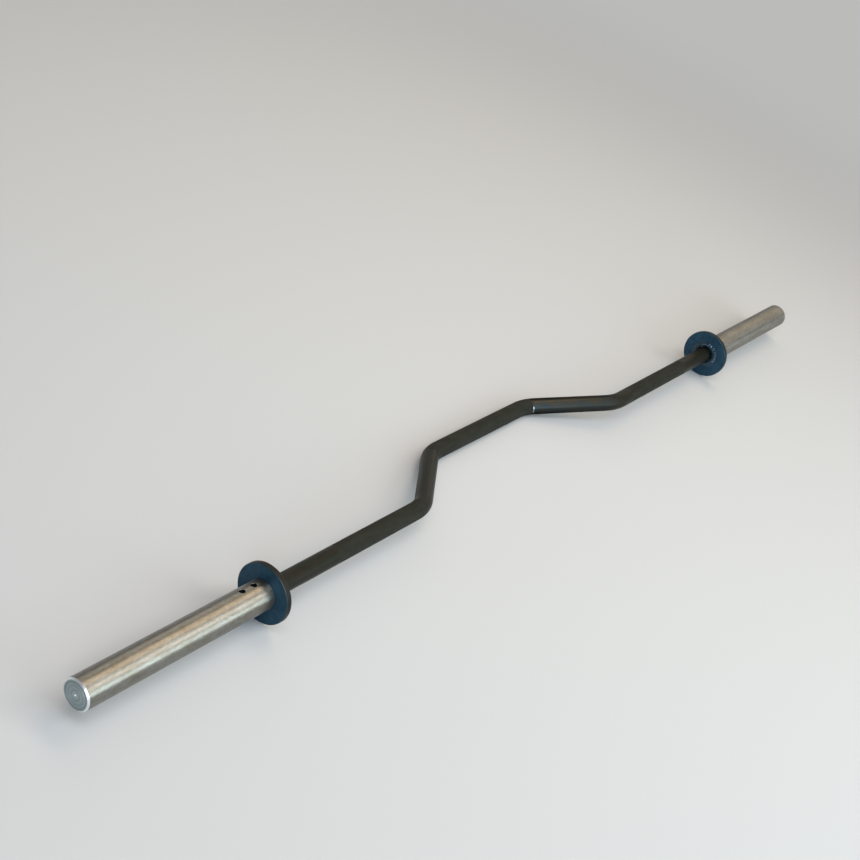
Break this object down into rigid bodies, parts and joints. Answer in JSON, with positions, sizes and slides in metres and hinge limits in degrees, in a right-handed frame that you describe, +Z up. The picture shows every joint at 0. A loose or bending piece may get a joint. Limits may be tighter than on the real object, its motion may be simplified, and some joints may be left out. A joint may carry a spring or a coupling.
{
  "type": "cambered bench press bar",
  "caption": "Steel barbell for bench pressing, with a bent, offset middle and a turning sleeve and round stop flange at each end.",
  "frame": {"origin": "the middle of the bar's bounding box, on the floor that the bar lies on", "axes": "+X along the bar towards the far end in the picture, +Y the way the camber points, +Z up"},
  "size_m": [2.184, 0.1694, 0.1],
  "materials": {
    "black_oxide": "black oxide, matt on the knurled bands and satin between them",
    "turned_steel": "bare turned steel, satin",
    "blue_enamel": "dark blue enamel, semi-gloss",
    "enamelled_weld": "dark blue enamel over a rippled weld, gloss",
    "bronze": "plain bronze bushing",
    "hardened_washer": "ground steel",
    "screw_steel": "black alloy steel",
    "faced_steel": "lathe-faced steel with fine rings"
  },
  "bodies": {
    "shaft": {"cambered_shaft": "black_oxide", "left_thrust_washer": "hardened_washer", "right_thrust_washer": "hardened_washer"},
    "left_sleeve": {"left_sleeve": "turned_steel", "left_flange": "blue_enamel", "left_flange_weld": "enamelled_weld", "left_inner_bushing": "bronze", "left_outer_bushing": "bronze", "left_inner_set_screw": "screw_steel", "left_outer_set_screw": "screw_steel", "left_end_plug": "faced_steel"},
    "right_sleeve": {"right_sleeve": "turned_steel", "right_flange": "blue_enamel", "right_flange_weld": "enamelled_weld", "right_inner_bushing": "bronze", "right_outer_bushing": "bronze", "right_inner_set_screw": "screw_steel", "right_outer_set_screw": "screw_steel", "right_end_plug": "faced_steel"}
  },
  "joints": [
    {"name": "left_sleeve_spin", "type": "hinge", "parent": "shaft", "child": "left_sleeve", "pos_m": [-0.7185, -0.03471, 0.05], "axis": [1, 0, 0], "continuous": true},
    {"name": "right_sleeve_spin", "type": "hinge", "parent": "shaft", "child": "right_sleeve", "pos_m": [0.7185, -0.03471, 0.05], "axis": [1, 0, 0], "continuous": true}
  ]
}
